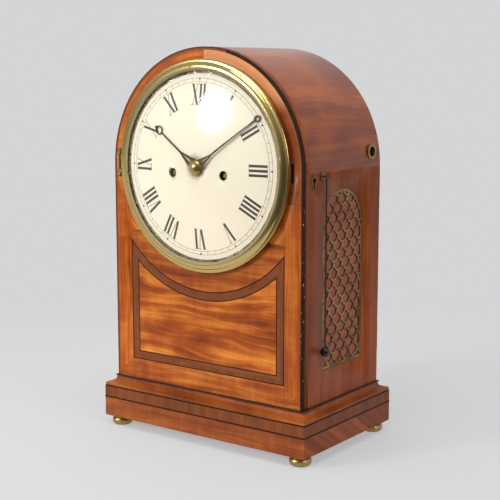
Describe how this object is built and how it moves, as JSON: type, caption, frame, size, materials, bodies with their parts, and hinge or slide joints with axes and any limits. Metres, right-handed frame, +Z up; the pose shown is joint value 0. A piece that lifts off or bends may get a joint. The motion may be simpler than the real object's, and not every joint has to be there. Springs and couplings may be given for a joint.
{
  "type": "bracket clock",
  "caption": "Arched veneered table clock with a round convex dial behind a hinged brass bezel, fish-scale side frets, glazed back door and a twin-fusee striking movement.",
  "frame": {"origin": "on the standing surface, under the middle of the whole clock without its cord", "axes": "+X to the right of the dial, +Y from the front to the back, +Z up"},
  "size_m": [0.2772, 0.1882, 0.4315],
  "materials": {
    "satinwood": "french polished, warm golden brown",
    "mahogany": "french polished crossbanding",
    "ebony": "polished black line",
    "pine": "plain planed carcase wood",
    "brass": "polished and lacquered",
    "old_brass": "dull, darkened with age",
    "gilt": "bright polished",
    "steel": "polished steel",
    "bell_metal": "turned bell metal",
    "painted_dial": "cream painted iron, satin",
    "bronzed": "dark bronzed steel",
    "crown_glass": "clear",
    "silk": "faded red pleated silk",
    "gut": "amber gut",
    "twine": "dark twisted cord",
    "ebonised": "turned and polished black"
  },
  "bodies": {
    "case": {"feet": "gilt", "plinth": "satinwood", "crossbanding": "mahogany", "stringing": "ebony", "base_moulding": "satinwood", "base_board": "pine", "side_left": "satinwood", "side_right": "satinwood", "arch_hood": "satinwood", "front_board": "pine", "front_veneer": "satinwood", "edge_stringing": "ebony", "fret_left": "old_brass", "fret_right": "old_brass", "side_silks": "silk", "silk_slips": "pine", "side_brasses": "brass", "bezel_lock": "steel", "hinge_leaves": "brass", "seat_board": "pine", "front_plate": "brass", "back_plate": "brass", "dial": "painted_dial", "back_cock": "brass", "bell": "bell_metal", "bell_stand": "steel", "gut_lines": "gut", "repeat_cord": "twine"},
    "lock_bolt": {"lock_bolt": "steel"},
    "bezel_door": {"bezel": "gilt", "sight_ring": "gilt", "bezel_glass": "crown_glass"},
    "back_door": {"back_door": "satinwood", "back_door_glass": "crown_glass", "door_brasses": "brass"},
    "door_latch": {"door_latch": "brass"},
    "minute_hand": {"minute_hand": "bronzed", "cannon_wheel": "brass", "hand_nut": "brass"},
    "hour_hand": {"hour_hand": "bronzed", "hour_wheel": "brass"},
    "minute_wheel": {"minute_wheel": "brass"},
    "centre_wheel": {"centre_wheel": "brass"},
    "third_wheel": {"third_wheel": "brass"},
    "escape_wheel": {"escape_wheel": "brass"},
    "going_fusee": {"going_fusee": "brass"},
    "going_barrel": {"going_barrel": "brass"},
    "strike_fusee": {"strike_fusee": "brass"},
    "strike_barrel": {"strike_barrel": "brass"},
    "pin_wheel": {"pin_wheel": "brass"},
    "locking_wheel": {"locking_wheel": "brass"},
    "warning_wheel": {"warning_wheel": "brass"},
    "fly": {"fly": "brass"},
    "anchor": {"anchor": "steel"},
    "pendulum": {"pendulum_rod": "steel", "pendulum_bob": "brass"},
    "hammer": {"hammer": "steel"},
    "rack": {"rack": "steel"},
    "repeat_lever": {"repeat_lever": "steel"},
    "repeat_pull": {"repeat_ball": "ebonised"}
  },
  "joints": [
    {"name": "lock_bolt_slide", "type": "slide", "parent": "case", "child": "lock_bolt", "axis": [0, 0, 1], "range_m": [0, 0.006]},
    {"name": "bezel_hinge", "type": "hinge", "parent": "case", "child": "bezel_door", "pos_m": [-0.1171, -0.07295, 0.305], "axis": [0, 0, -1], "range_deg": [0, 105]},
    {"name": "back_door_hinge", "type": "hinge", "parent": "case", "child": "back_door", "pos_m": [0.1186, 0.08465, 0.2], "axis": [0, 0, -1], "range_deg": [0, 110]},
    {"name": "door_latch_turn", "type": "hinge", "parent": "back_door", "child": "door_latch", "pos_m": [-0.107, 0.08065, 0.2], "axis": [0, 1, 0], "range_deg": [0, 90]},
    {"name": "minute_hand_arbor", "type": "hinge", "parent": "case", "child": "minute_hand", "pos_m": [0, -0.07935, 0.305], "axis": [0, 1, 0], "continuous": true},
    {"name": "hour_hand_pipe", "type": "hinge", "parent": "case", "child": "hour_hand", "pos_m": [0, -0.07735, 0.305], "axis": [0, 1, 0], "continuous": true},
    {"name": "minute_wheel_stud", "type": "hinge", "parent": "case", "child": "minute_wheel", "pos_m": [0, -0.05735, 0.285], "axis": [0, 1, 0], "continuous": true},
    {"name": "third_arbor", "type": "hinge", "parent": "case", "child": "third_wheel", "pos_m": [0.011, -0.01935, 0.329], "axis": [0, 1, 0], "continuous": true},
    {"name": "centre_arbor", "type": "hinge", "parent": "case", "child": "centre_wheel", "pos_m": [0, -0.01935, 0.305], "axis": [0, 1, 0], "continuous": true},
    {"name": "escape_arbor", "type": "hinge", "parent": "case", "child": "escape_wheel", "pos_m": [0, -0.01935, 0.3493], "axis": [0, 1, 0], "continuous": true},
    {"name": "going_fusee_arbor", "type": "hinge", "parent": "case", "child": "going_fusee", "pos_m": [0.034, -0.02935, 0.298], "axis": [0, 1, 0], "continuous": true},
    {"name": "going_barrel_arbor", "type": "hinge", "parent": "case", "child": "going_barrel", "pos_m": [0.036, -0.02935, 0.247], "axis": [0, 1, 0], "continuous": true},
    {"name": "locking_arbor", "type": "hinge", "parent": "case", "child": "locking_wheel", "pos_m": [-0.032, -0.01935, 0.347], "axis": [0, 1, 0], "continuous": true},
    {"name": "pin_wheel_arbor", "type": "hinge", "parent": "case", "child": "pin_wheel", "pos_m": [-0.046, -0.01935, 0.3306], "axis": [0, 1, 0], "continuous": true},
    {"name": "warning_arbor", "type": "hinge", "parent": "case", "child": "warning_wheel", "pos_m": [-0.0195, -0.01935, 0.3582], "axis": [0, 1, 0], "continuous": true},
    {"name": "fly_arbor", "type": "hinge", "parent": "case", "child": "fly", "pos_m": [-0.0225, -0.01935, 0.3704], "axis": [0, 1, 0], "continuous": true},
    {"name": "strike_fusee_arbor", "type": "hinge", "parent": "case", "child": "strike_fusee", "pos_m": [-0.034, -0.02935, 0.298], "axis": [0, 1, 0], "continuous": true},
    {"name": "strike_barrel_arbor", "type": "hinge", "parent": "case", "child": "strike_barrel", "pos_m": [-0.036, -0.02935, 0.247], "axis": [0, 1, 0], "continuous": true},
    {"name": "pendulum_suspension", "type": "hinge", "parent": "case", "child": "pendulum", "pos_m": [0, 0.01965, 0.3696], "axis": [0, 1, 0], "range_deg": [-4, 4]},
    {"name": "anchor_arbor", "type": "hinge", "parent": "case", "child": "anchor", "pos_m": [0, -0.00935, 0.3696], "axis": [0, 1, 0], "range_deg": [-4, 4]},
    {"name": "hammer_arbor", "type": "hinge", "parent": "case", "child": "hammer", "pos_m": [-0.06, -0.02585, 0.352], "axis": [0, -1, 0], "range_deg": [0, 12], "stiffness_Nm_per_rad": 0.05, "springref_deg": -11.46},
    {"name": "rack_stud", "type": "hinge", "parent": "case", "child": "rack", "pos_m": [0.014, -0.06535, 0.271], "axis": [0, 1, 0], "range_deg": [0, 8]},
    {"name": "repeat_pull_slide", "type": "slide", "parent": "case", "child": "repeat_pull", "axis": [0, 0, -1], "range_m": [0, 0.016], "stiffness_N_per_m": 100, "springref_m": -0.02, "deforming": ["repeat_cord"]},
    {"name": "repeat_lever_stud", "type": "hinge", "parent": "case", "child": "repeat_lever", "pos_m": [0.066, -0.05935, 0.348], "axis": [0, -1, 0], "range_deg": [0, 19.5]}
  ],
  "couplings": [
    {"joint": "hour_hand_pipe", "follows": "minute_hand_arbor", "ratio": 0.083333},
    {"joint": "minute_wheel_stud", "follows": "minute_hand_arbor", "ratio": -0.33333},
    {"joint": "centre_arbor", "follows": "third_arbor", "ratio": -0.1},
    {"joint": "escape_arbor", "follows": "third_arbor", "ratio": -10},
    {"joint": "going_fusee_arbor", "follows": "third_arbor", "ratio": 0.0083333},
    {"joint": "going_barrel_arbor", "follows": "third_arbor", "ratio": 0.0055997},
    {"joint": "pin_wheel_arbor", "follows": "locking_arbor", "ratio": -0.125},
    {"joint": "warning_arbor", "follows": "locking_arbor", "ratio": -7},
    {"joint": "fly_arbor", "follows": "locking_arbor", "ratio": 35},
    {"joint": "strike_fusee_arbor", "follows": "locking_arbor", "ratio": 0.010417},
    {"joint": "strike_barrel_arbor", "follows": "locking_arbor", "ratio": 0.0069996},
    {"joint": "anchor_arbor", "follows": "pendulum_suspension", "ratio": 1},
    {"joint": "repeat_lever_stud", "follows": "repeat_pull_slide", "rad_per_m": 20.576}
  ]
}
